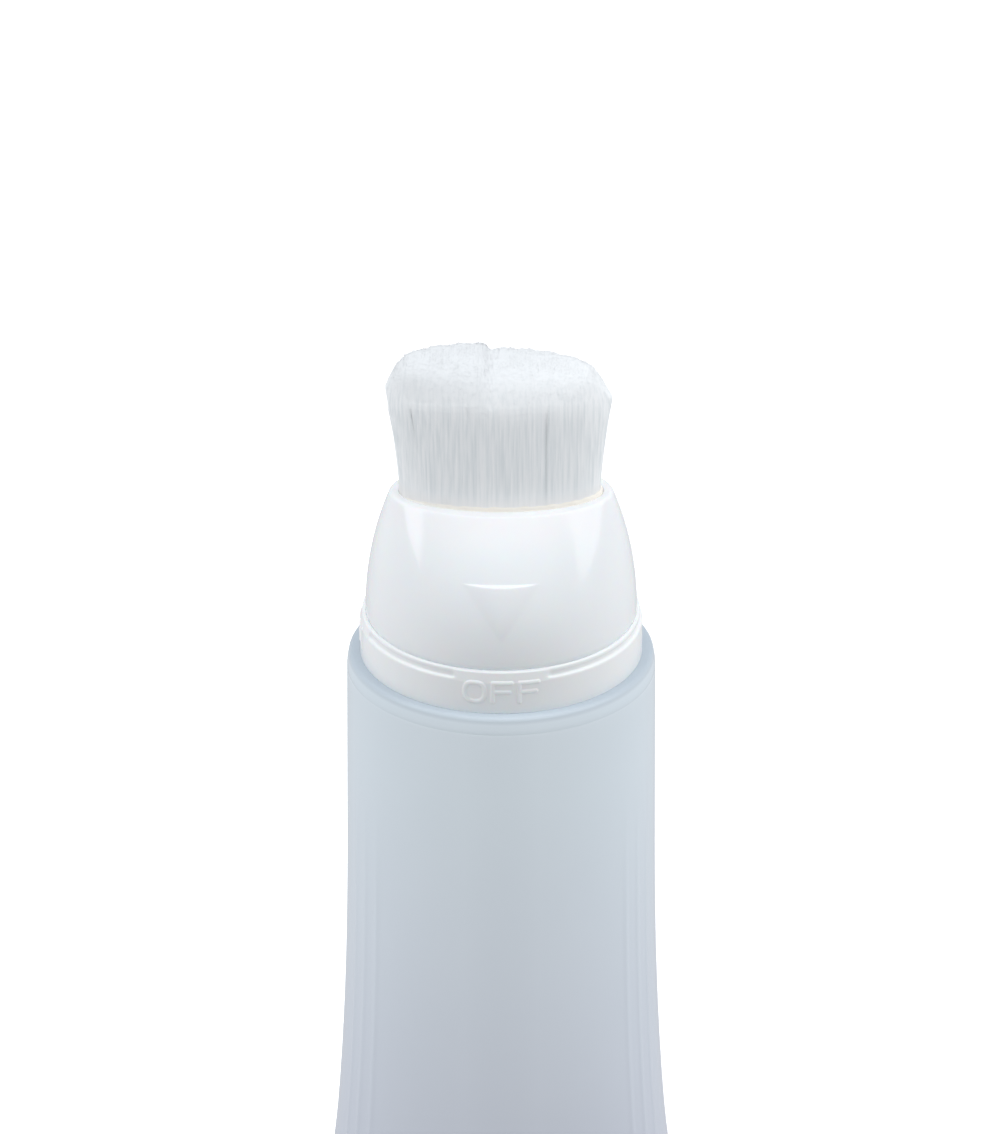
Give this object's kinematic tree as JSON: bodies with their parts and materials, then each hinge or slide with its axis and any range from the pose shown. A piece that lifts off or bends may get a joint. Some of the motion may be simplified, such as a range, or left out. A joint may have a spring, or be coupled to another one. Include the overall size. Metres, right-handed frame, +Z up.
{
  "type": "squeeze tube with twist-lock brush head",
  "caption": "Frosted squeeze tube with a flat welded tail, a fixed collar, and a domed oval brush head that twists between closed and open to feed the bristles.",
  "frame": {"origin": "centre of the collar's lower edge, on the plane of the shoulder that an overcap comes down to", "axes": "+Z up the axis to the brush, X along the brush's long side and the tail seal, -Y towards the OFF mark"},
  "size_m": [0.0786, 0.05, 0.2066],
  "materials": {
    "frosted_tube": "satin",
    "frosted_shoulder": "satin",
    "white_collar": "gloss",
    "white_head": "gloss",
    "inner_plastic": "satin",
    "gasket": "matte",
    "o_ring": "matte",
    "glue": "satin",
    "bristle": "satin"
  },
  "bodies": {
    "tube_body": {"tube_sleeve": "frosted_tube", "shoulder_neck": "frosted_shoulder", "neck_gasket": "gasket", "collar_ring": "white_collar", "valve_seat": "inner_plastic", "face_gasket": "gasket", "rotor_o_ring": "o_ring"},
    "brush_head": {"head_shell": "white_head", "head_carrier": "inner_plastic", "valve_rotor": "inner_plastic", "brush_cup": "inner_plastic", "feed_nozzle": "inner_plastic", "glue_bed": "glue", "bristles_left": "bristle", "bristles_right": "bristle"}
  },
  "joints": [
    {"name": "head_twist", "type": "hinge", "parent": "tube_body", "child": "brush_head", "pos_m": [0, 0, 0.0077], "axis": [0, 0, -1], "range_deg": [0, 90]}
  ]
}
